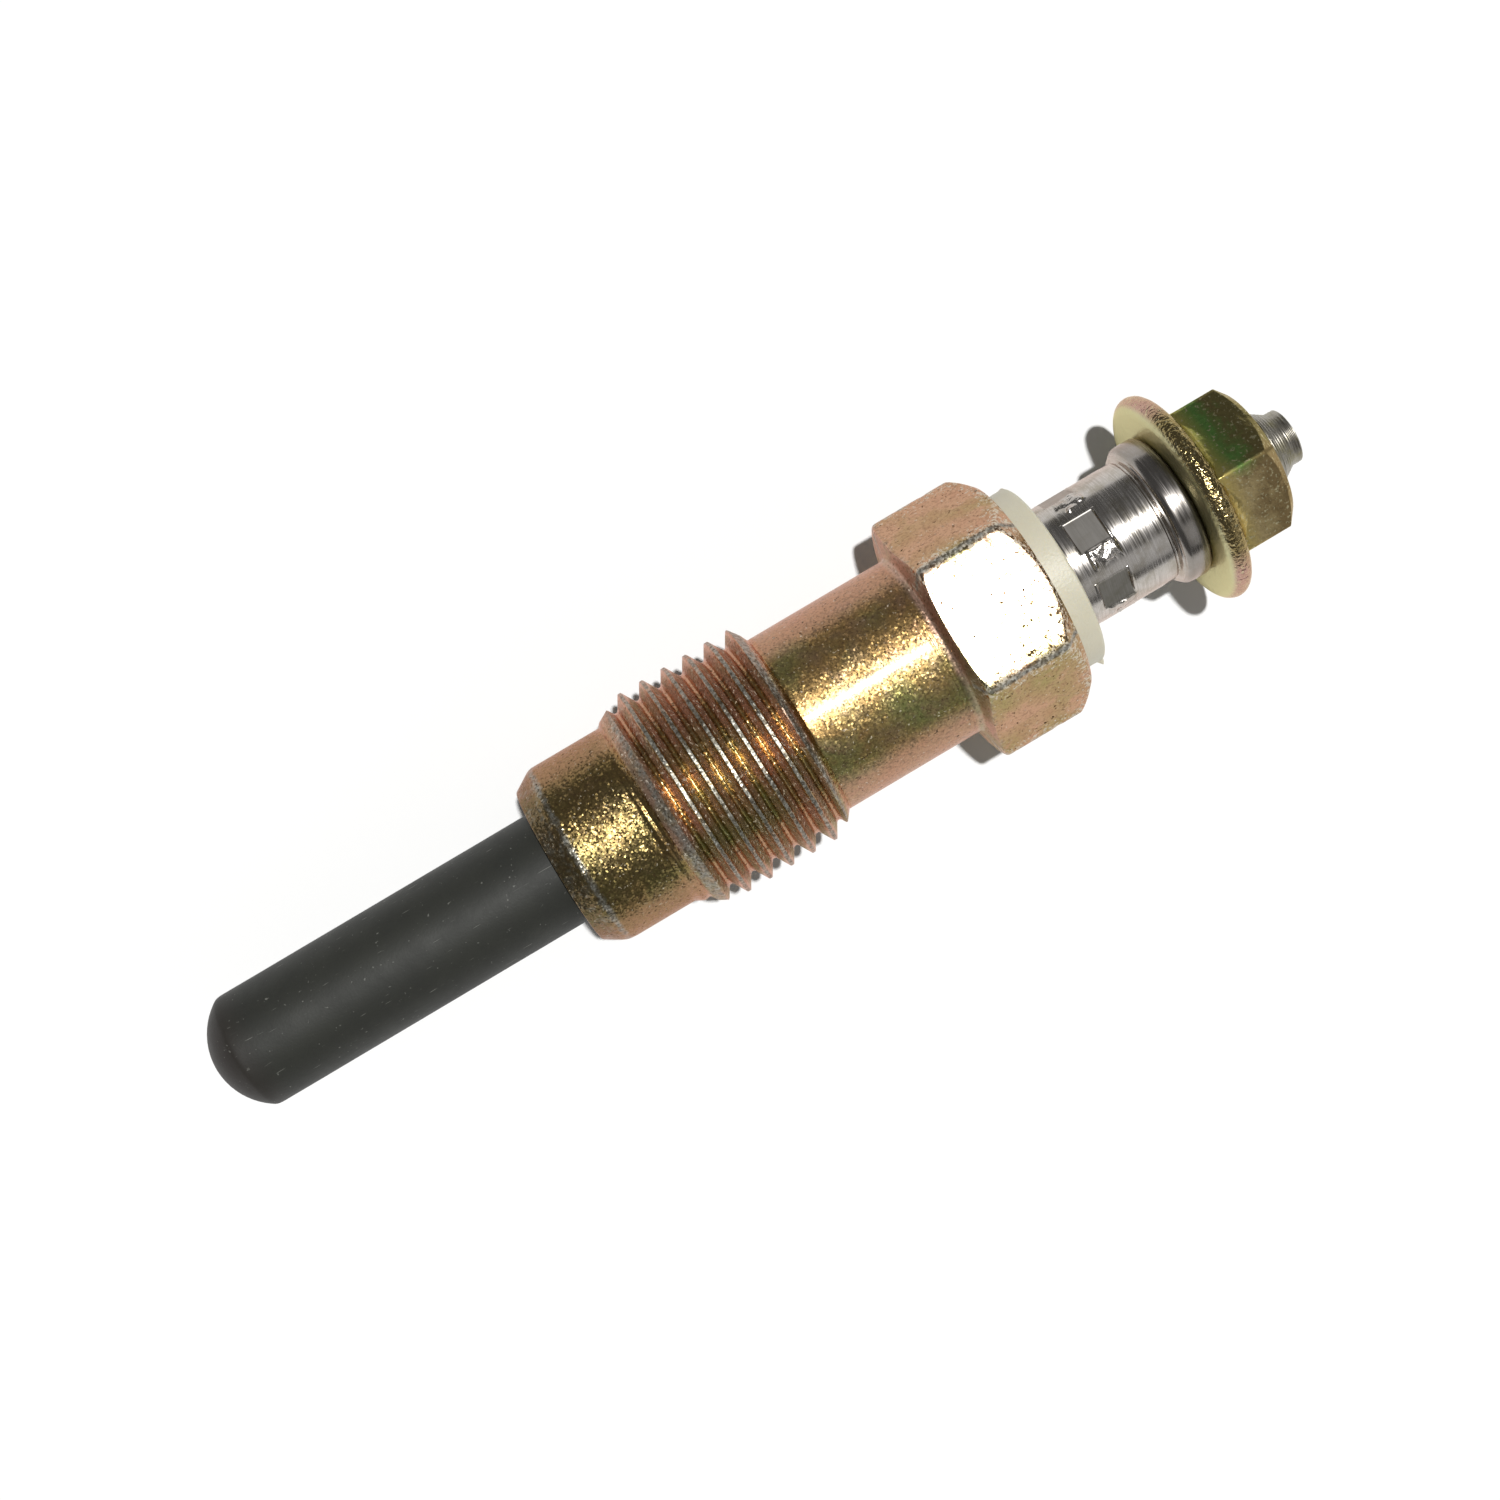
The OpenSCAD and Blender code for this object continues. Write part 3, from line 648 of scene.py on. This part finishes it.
lean_squared = add(zinc, "VectorMath", {"operation": "MULTIPLY"}, {"Vector": lean, "Vector_001": lean})
lean_cubed = add(zinc, "VectorMath", {"operation": "MULTIPLY"}, {
    "Vector": lean, "Vector_001": lean_squared})
lean_reach = add(zinc, "MapRange", {}, {"Value": grain_mark, "To Max": 3.2})
crystal_lean = add(zinc, "VectorMath", {"operation": "SCALE"}, {
    "Vector": lean_cubed, "Scale": lean_reach})
skin_normal = add(zinc, "NewGeometry", {}, {}).outputs["Normal"]
leaning = add(zinc, "VectorMath", {"operation": "ADD"}, {
    "Vector": skin_normal, "Vector_001": crystal_lean})
crystal_normal = add(zinc, "VectorMath", {"operation": "NORMALIZE"}, {"Vector": leaning})
stipple_bump = add(zinc, "Bump", {}, {
    "Height": stipple, "Distance": 0.000008, "Normal": crystal_normal})
uneven_bump = add(zinc, "Bump", {}, {
    "Height": red_cloud, "Distance": 0.00002, "Strength": 0.8, "Normal": stipple_bump})
bare_metal = add(zinc, "MapRange", {}, {"Value": dust, "From Max": 0.7, "To Min": 1.0, "To Max": 0.1})
clear_film = add(zinc, "MapRange", {}, {
    "Value": film_gloss, "From Min": 0.36, "From Max": rear_gloss, "To Max": 0.3})
add(zinc, "BsdfPrincipled", {}, {
    "Base Color": zinc_colour, "Metallic": bare_metal, "Roughness": zinc_gloss,
    "Specular Tint": linear("#ffe0d8"), "Coat Weight": clear_film, "Coat Roughness": 0.2,
    "Normal": uneven_bump})
make_piece("body_shell", all_points, all_faces, body_marks, zinc, "body")

# The insulating washer is moulded from cream nylon: its flange lies on the hexagon's end and
# its spigot goes down into the counterbore, so the pin never touches the body.
washer_from = 23.7
washer_face = 28.7
washer_r = 4.95
spigot_r = 3.95
washer_hole_r = 2.5
washer_angles = np.linspace(0, 2 * math.pi, 360, endpoint=False)
washer_deg = np.degrees(washer_angles)
flash_tears = [(0.30, 181, 2.2), (0.07, 4, 3.5)]
torn_flash = sum(reach * np.exp(-((washer_deg - at) / width) ** 2) for reach, at, width in flash_tears)
washer_outline = [
    (washer_from, washer_hole_r, 0.1, 4), (washer_from, spigot_r, 0.2, 10), (hex_end, spigot_r, 0, 3),
    (hex_end, washer_r, 0.08, 10), (washer_face - 0.35, washer_r, 0.05, 2),
    (washer_face - 0.1, washer_r + torn_flash, 0.06, 2),
    (washer_face, washer_r - 0.15 + torn_flash, 0.05, 6), (washer_face, washer_hole_r, 0.05, 12)]
washer_x, washer_rr = outline_rows(washer_outline, True, len(washer_angles))
rim_wave = 0.012
rim_from_r = 4.6
on_rim = washer_rr > rim_from_r
washer_rr = washer_rr + rim_wave * clouds(washer_x, washer_angles, 1.5, 4.0) * on_rim

# Moulded nylon: a cream plastic that lets a little light in, with a faint skin texture and
# a few brown smears from handling.
moulded_nylon = new_finish("moulded_cream_nylon")
place = add(moulded_nylon, "TexCoord", {}, {}).outputs["Object"]
tone_cloud = add(moulded_nylon, "TexNoise", {}, {"Vector": place, "Scale": 1000 / 1.8, "Detail": 4.0})
tone = add(moulded_nylon, "Mix", rgba, {
    "Factor": tone_cloud, "A_Color": linear("#cac4ad"), "B_Color": linear("#d5d1bd")})
smear_cloud = add(moulded_nylon, "TexNoise", {}, {
    "Vector": place, "Scale": 1000 / 0.5, "Detail": 5.0, "Roughness": 0.65})
smear = add(moulded_nylon, "MapRange", {}, {
    "Value": smear_cloud, "From Min": 0.62, "From Max": 0.8, "To Max": 0.45})
smeared = add(moulded_nylon, "Mix", rgba, {
    "Factor": smear, "A_Color": tone, "B_Color": linear("#b3a98a")})
skin = add(moulded_nylon, "TexNoise", {}, {"Vector": place, "Scale": 1000 / 0.14})
nylon_bump = add(moulded_nylon, "Bump", {}, {"Height": skin, "Distance": 0.00002})
add(moulded_nylon, "BsdfPrincipled", {}, {
    "Base Color": smeared, "Roughness": 0.45, "IOR": 1.53, "Subsurface Weight": 0.25,
    "Subsurface Radius": (1.0, 0.8, 0.5), "Subsurface Scale": 0.0006, "Normal": nylon_bump})
make_piece("insulating_washer_moulding", round_points(washer_x, washer_rr, washer_angles),
           grid_faces(*washer_rr.shape, True), {}, moulded_nylon, "insulating_washer")

# The ring nut is turned from round bar and plated bright. It clamps the washer, and six square
# punch marks stake it to the pin's thread, each with metal smeared up past one of its edges.
ring_r = 3.35
ring_end = 35.65
ring_hole_r = 2.5
ring_flange = 34.05
ring_step = 0.55
stake_from = 29.68
stake_to = 31.43
stake_depth = 0.13
stake_first = 73
stake_half = 16
burr_turn = -15.5
burr_height = 0.02
top_burr_height = 0.018
smear_height = 0.09
relief_from = 33.86
relief_floor = [33.92, 34.0]
relief_depth = 0.06
plain_to = 33.8
shoulder_nick = [(34.2, 3.6, 0.02, 0), (34.24, 3.72, 0.02, 0)]
flange_edge = 35.4
flange_chamfer = 0.2
burr_angles = [stake_first + 60 * k + burr_turn + step for k in range(6) for step in (-1, 0, 1, 2)]
ring_degrees = np.concatenate([np.arange(0, 360, 1.0), np.array(burr_angles) % 360])
ring_angles = np.radians(np.sort(ring_degrees))
shoulder = [(ring_flange + ring_step * (1 - math.cos(t)), ring_r + ring_step * math.sin(t), 0, 0)
            for t in np.radians(np.linspace(0, 90, 8))]
ring_outline = [(washer_face, ring_hole_r, 0.1, 4), (washer_face, ring_r, 0.08, 130),
                (relief_from, ring_r, 0.03, 0)]
ring_outline += [(floor, ring_r - relief_depth, 0.02, 0) for floor in relief_floor]
ring_outline += shoulder[:3] + shoulder_nick + shoulder[5:]
ring_outline += [(flange_edge, ring_r + ring_step, 0.06, 1),
                 (ring_end, ring_r + ring_step - flange_chamfer, 0.06, 6),
                 (ring_end, ring_hole_r, 0.1, 30)]
ring_x, ring_rr = outline_rows(ring_outline, True, len(ring_angles))
stake_turn = (np.degrees(ring_angles) - stake_first + 30) % 60 - 30
stake_flat = (ring_r - stake_depth) / np.cos(np.radians(stake_turn))
inside = np.clip((ring_x - stake_from) / 0.05, 0, 1) * np.clip((stake_to - ring_x) / 0.05, 0, 1)
on_ring = (ring_rr > ring_r - 0.2) & (ring_x < plain_to)
sunk = np.minimum(ring_rr, ring_rr + (stake_flat - ring_rr) * inside)
ring_rr = np.where(on_ring, sunk, ring_rr)
ragged = clouds(ring_x, ring_angles, 2.4, 7.0)
edge_x = np.minimum(np.abs(ring_x - stake_from + 0.04), np.abs(ring_x - stake_to - 0.04))
burr = np.exp(-(edge_x / 0.05) ** 2) * (np.abs(stake_turn) < stake_half)
smear_along = np.clip((ring_x - stake_from - 0.2) / 0.2, 0, 1)
smear_along = smear_along * np.clip((stake_to + 0.15 - ring_x) / 0.2, 0, 1)
smear_turn = (np.degrees(ring_angles) - stake_first + 20) % 60 - 20
smear_round = np.clip((smear_turn - 15) / 2, 0, 1) * np.clip((33 + 8 * ragged - smear_turn) / 3, 0, 1)
top_burr = inside * np.exp(-((stake_turn - burr_turn) / 0.6) ** 2)
smear = smear_along * smear_round
burr_rise = burr * burr_height * np.clip(0.5 + ragged, 0, 1) + top_burr_height * top_burr
smear_rise = smear * smear_height * np.clip(0.7 + ragged, 0, 1.4)
ring_rr = ring_rr + on_ring * (burr_rise + smear_rise)
torn_mark = on_ring * np.clip(smear + 0.4 * burr, 0, 1)
punch_mark = on_ring * inside * (np.abs(stake_turn) < stake_half)

# Bright nickel plate: a silver mirror broken by fine turning marks round the axis, soiled to
# brown-grey in places, with painted shade darkening the flange next to the nut, dull punch marks
# that turn darker towards -Y, and torn, rougher metal where the punch has smeared it.
plate = new_finish("bright_nickel_plate")
place = add(plate, "TexCoord", {}, {}).outputs["Object"]
turning_place = add(plate, "Mapping", {}, {
    "Vector": place, "Scale": (1000 / 0.07, 1000 / 2.2, 1000 / 2.2)})
turning = add(plate, "TexNoise", {}, {
    "Vector": turning_place, "Scale": 1.0, "Detail": 4.0, "Roughness": 0.6})
turning_share = add(plate, "MapRange", {}, {"Value": turning, "From Min": 0.32, "From Max": 0.68})
plate_tone = add(plate, "Mix", rgba, {
    "Factor": turning_share, "A_Color": linear("#aca7a1"), "B_Color": linear("#cfcac5")})
soil_cloud = add(plate, "TexNoise", {}, {
    "Vector": place, "Scale": 1000 / 0.9, "Detail": 5.0, "Roughness": 0.65})
soil = add(plate, "MapRange", {}, {
    "Value": soil_cloud, "From Min": 0.45, "From Max": 0.7, "To Max": 0.65})
soiled = add(plate, "Mix", rgba, {
    "Factor": soil, "A_Color": plate_tone, "B_Color": linear("#8a826f")})
flange_place = add(plate, "SeparateXYZ", {}, {"Vector": place})
# Painted shade: the flange next to the nut is darkened in its colour, standing in for the dim room its
# smooth plate mirrors.
flange_shade_share = add(plate, "MapRange", {}, {
    "Value": flange_place.outputs["X"], "From Min": 0.03415, "From Max": 0.0343, "To Max": 0.65})
flange_painted_shade = add(plate, "Mix", rgba, {
    "Factor": flange_shade_share, "A_Color": soiled, "B_Color": linear("#807b77")})
punched = add(plate, "Attribute", {"attribute_name": "punched"}, {}).outputs["Fac"]
punch_share = add(plate, "MapRange", {}, {"Value": punched, "To Max": 0.65})
# The punch floors turn darker towards -Y.
punch_low_side = add(plate, "MapRange", {}, {
    "Value": flange_place.outputs["Y"], "From Max": -0.002, "To Max": 0.9})
punch_floor = add(plate, "Mix", rgba, {
    "Factor": punch_low_side, "A_Color": linear("#86837d"), "B_Color": linear("#5c5d54")})
punch_tone = add(plate, "Mix", rgba, {
    "Factor": punch_share, "A_Color": flange_painted_shade, "B_Color": punch_floor})
line_height = add(plate, "MapRange", {}, {"Value": punched, "To Min": 1.0, "To Max": 2.5})
torn = add(plate, "Attribute", {"attribute_name": "torn"}, {}).outputs["Fac"]
line_gloss = add(plate, "MapRange", {}, {
    "Value": turning, "From Min": 0.36, "From Max": 0.66, "To Min": 0.16, "To Max": 0.30})
punch_gloss = add(plate, "MapRange", {}, {"Value": punched, "To Max": 0.38})
plate_gloss = add(plate, "Math", {"operation": "MAXIMUM"}, {
    "Value": line_gloss, "Value_001": punch_gloss})
turning_bump = add(plate, "Bump", {}, {
    "Height": turning, "Distance": 0.0000016, "Strength": line_height})
torn_grain = add(plate, "TexNoise", {}, {
    "Vector": place, "Scale": 1000 / 0.3, "Detail": 3.0, "Roughness": 0.6})
torn_height = add(plate, "Math", {"operation": "MULTIPLY"}, {"Value": torn_grain, "Value_001": torn})
torn_bump = add(plate, "Bump", {}, {"Height": torn_height, "Distance": 0.00007, "Normal": turning_bump})
add(plate, "BsdfPrincipled", {}, {
    "Base Color": punch_tone, "Metallic": 1.0, "Roughness": plate_gloss,
    "Specular Tint": linear("#f4e6e0"), "Normal": torn_bump})
make_piece("ring_nut_staked", round_points(ring_x, ring_rr, ring_angles), grid_faces(*ring_rr.shape, True),
           {"torn": torn_mark, "punched": punch_mark}, plate, "ring_nut")

# The terminal nut is a cold-formed M5 flange nut: a round flange runs up into the hexagon in one
# hollow curve. It is screwed down on the ring nut, to clamp the lead's ring terminal.
nut_end = 40.45
nut_flat = 3.9
nut_corner = 4.423
nut_corner_ease = 0.065
nut_corner_soft = 0.004
nut_face_r = 3.58
nut_slope = 40
nut_rim = 1.2
rim_centre = 5.15
blend_r = 1.25
blend_x = 38.1
nut_hole_r = 2.5
nut_first = 92
under_chamfer = 0.25
hole_chamfer = 0.3
facet_len = 0.42
facet_depth = 0.18
corner_wear_most = 0.35
wear_from = 37.4
wear_from_r = 3.5
nut_rim_r = 4.95
rim_dent_depth = 0.05
nut_angles = corner_angles(nut_first)
nut_turn = np.abs((np.degrees(nut_angles) - nut_first + 30) % 60 - 30)
nut_r = hexagon_radius(nut_angles, nut_first, nut_flat, nut_corner + nut_corner_ease, nut_corner_soft)
rim_turn = np.radians(np.linspace(-90, 90, 15))
nut_outline = [(ring_end, nut_hole_r + under_chamfer, 0.05, 6)]
nut_outline += [(ring_end + nut_rim / 2 * (1 + math.sin(t)), rim_centre + nut_rim / 2 * math.cos(t), 0, 0)
                for t in rim_turn]
blend_end = 2 * math.pi - np.arccos(np.clip((nut_r - nut_flat) / blend_r - 1, -1, 0))
for share in np.linspace(0, 1, 12)[1:]:
    turn = 1.5 * math.pi + (blend_end - 1.5 * math.pi) * share
    rise = nut_flat + blend_r + blend_r * np.cos(turn)
    nut_outline.append((blend_x + blend_r * np.sin(turn), rise, 0, 0))
nut_outline[-1] = nut_outline[-1][:3] + (16,)
facet_drop = facet_depth * np.clip((nut_turn - 8) / 22, 0, 1)
chamfer_at = nut_end - (nut_r - nut_face_r) * math.tan(math.radians(nut_slope))
nut_outline += [(chamfer_at - facet_len, nut_r, 0.03, 2), (chamfer_at, nut_r - facet_drop, 0.05, 3),
                (nut_end, nut_face_r, 0.06, 4), (nut_end, nut_hole_r + hole_chamfer, 0.03, 2),
                (nut_end - hole_chamfer, nut_hole_r, 0.03, 20),
                (ring_end + hole_chamfer, nut_hole_r, 0.03, 2)]
nut_x, nut_rr = outline_rows(nut_outline, True, len(nut_angles))
above_flange = (nut_rr > wear_from_r) & (nut_x > wear_from)
nut_wear = above_flange * np.exp(-(nut_turn / 2.0) ** 2) * corner_wear_most
rim_mark = np.clip((nut_rr - nut_rim_r) / 0.25, 0, 1) * np.clip((nut_x - ring_end - 0.05) / 0.15, 0, 1)
nut_dent = clouds(nut_x, nut_angles, 2.0, 9.0)
nut_rr = nut_rr - rim_dent_depth * rim_mark * np.clip(nut_dent, 0, 1)

# Olive-chromated zinc: a dark film over zinc, green on some flats, gold-olive on others and browner
# to the end, pale yellow-green under the flange, with a coarse, pitted rim that turns pink towards
# the sides, a painted grazing-angle sheen.
olive_zinc = new_finish("olive_chromated_zinc")
place = add(olive_zinc, "TexCoord", {}, {}).outputs["Object"]
across = add(olive_zinc, "SeparateXYZ", {}, {"Vector": place})
olive_cloud = add(olive_zinc, "TexNoise", {}, {
    "Vector": place, "Scale": 1000 / 2.0, "Detail": 5.0, "Roughness": 0.6})
olive_lean = add(olive_zinc, "MapRange", {}, {
    "Value": across.outputs["Y"], "From Min": -0.002, "From Max": 0.002, "To Min": -0.3, "To Max": 0.3})
olive_sum = add(olive_zinc, "Math", {"operation": "ADD"}, {
    "Value": olive_cloud, "Value_001": olive_lean})
olive_share = add(olive_zinc, "MapRange", {}, {"Value": olive_sum, "From Min": 0.35, "From Max": 0.65})
olive_film = add(olive_zinc, "Mix", rgba, {
    "Factor": olive_share, "A_Color": linear("#b19e73"), "B_Color": linear("#6d9650")})
end_lean = add(olive_zinc, "MapRange", {}, {
    "Value": across.outputs["X"], "From Min": 0.0376, "From Max": 0.0396, "To Min": -0.2,
    "To Max": 0.34})
brown_cloud = add(olive_zinc, "TexNoise", {}, {
    "Vector": place, "Scale": 1000 / 0.9, "Detail": 4.0, "Roughness": 0.6})
brown_sum = add(olive_zinc, "Math", {"operation": "ADD"}, {"Value": brown_cloud, "Value_001": end_lean})
brown_share = add(olive_zinc, "MapRange", {}, {
    "Value": brown_sum, "From Min": 0.45, "From Max": 0.75, "To Max": 0.85})
brown_film = add(olive_zinc, "Mix", rgba, {
    "Factor": brown_share, "A_Color": olive_film, "B_Color": linear("#806c4a")})
hollow_share = add(olive_zinc, "MapRange", {}, {
    "Value": across.outputs["X"], "From Min": 0.0382, "From Max": 0.0373, "To Max": 0.8})
hollow_film = add(olive_zinc, "Mix", rgba, {
    "Factor": hollow_share, "A_Color": brown_film, "B_Color": linear("#c2ae66")})
under_share = add(olive_zinc, "MapRange", {}, {
    "Value": across.outputs["X"], "From Min": 0.0360, "From Max": 0.0358})
under_film = add(olive_zinc, "Mix", rgba, {
    "Factor": under_share, "A_Color": hollow_film, "B_Color": linear("#c2c09a")})
rim_at = add(olive_zinc, "Attribute", {"attribute_name": "rim"}, {}).outputs["Fac"]
rim_share = add(olive_zinc, "MapRange", {}, {"Value": rim_at, "To Max": 0.85})
# Painted sheen: the rim turns pink towards the sides, a grazing-angle sheen painted into the colour.
side_reach = add(olive_zinc, "Math", {"operation": "ABSOLUTE"}, {"Value": across.outputs["Y"]})
pink_sheen_share = add(olive_zinc, "MapRange", {}, {
    "Value": side_reach, "From Min": 0.0036, "From Max": 0.0047})
rim_tone_and_sheen = add(olive_zinc, "Mix", rgba, {
    "Factor": pink_sheen_share, "A_Color": linear("#8d7c58"), "B_Color": linear("#b28a89")})
rim_film = add(olive_zinc, "Mix", rgba, {
    "Factor": rim_share, "A_Color": under_film, "B_Color": rim_tone_and_sheen})
olive_grain = add(olive_zinc, "TexNoise", {}, {"Vector": place, "Scale": 1000 / 0.17, "Roughness": 0.6})
olive_speck = add(olive_zinc, "MapRange", {}, {
    "Value": olive_grain, "From Min": 0.59, "From Max": 0.67, "To Max": 0.75})
specked_film = add(olive_zinc, "Mix", rgba, {
    "Factor": olive_speck, "A_Color": rim_film, "B_Color": linear("#c8c09a")})
olive_wear = add(olive_zinc, "Attribute", {"attribute_name": "wear"}, {}).outputs["Fac"]
olive_wear_noise = add(olive_zinc, "TexNoise", {}, {
    "Vector": place, "Scale": 1000 / 0.45, "Detail": 5.0, "Roughness": 0.65})
olive_wear_sum = add(olive_zinc, "Math", {"operation": "ADD"}, {
    "Value": olive_wear, "Value_001": olive_wear_noise})
olive_worn = add(olive_zinc, "MapRange", {}, {
    "Value": olive_wear_sum, "From Min": 0.98, "From Max": 1.25, "To Max": 0.7})
olive_colour = add(olive_zinc, "Mix", rgba, {
    "Factor": olive_worn, "A_Color": specked_film, "B_Color": linear("#c9bf9c")})
olive_gloss = add(olive_zinc, "MapRange", {}, {"Value": rim_at, "To Min": 0.34, "To Max": 0.2})
corner_gloss = add(olive_zinc, "MapRange", {}, {
    "Value": olive_wear, "From Max": corner_wear_most, "To Max": 0.75})
nut_gloss = add(olive_zinc, "Math", {"operation": "MAXIMUM"}, {
    "Value": olive_gloss, "Value_001": corner_gloss})
olive_coarse = add(olive_zinc, "MapRange", {}, {"Value": rim_at, "To Min": 0.3})
rim_grain = add(olive_zinc, "TexNoise", {}, {"Vector": place, "Scale": 1000 / 0.24})
olive_bump = add(olive_zinc, "Bump", {}, {
    "Height": rim_grain, "Distance": 0.00012, "Strength": olive_coarse})
add(olive_zinc, "BsdfPrincipled", {}, {
    "Base Color": olive_colour, "Metallic": 1.0, "Roughness": nut_gloss,
    "Specular Tint": linear("#fff2d8"), "Normal": olive_bump})
make_piece("terminal_nut_flanged", round_points(nut_x, nut_rr, nut_angles),
           grid_faces(*nut_rr.shape, True), {"wear": nut_wear, "rim": rim_mark},
           olive_zinc, "terminal_nut")
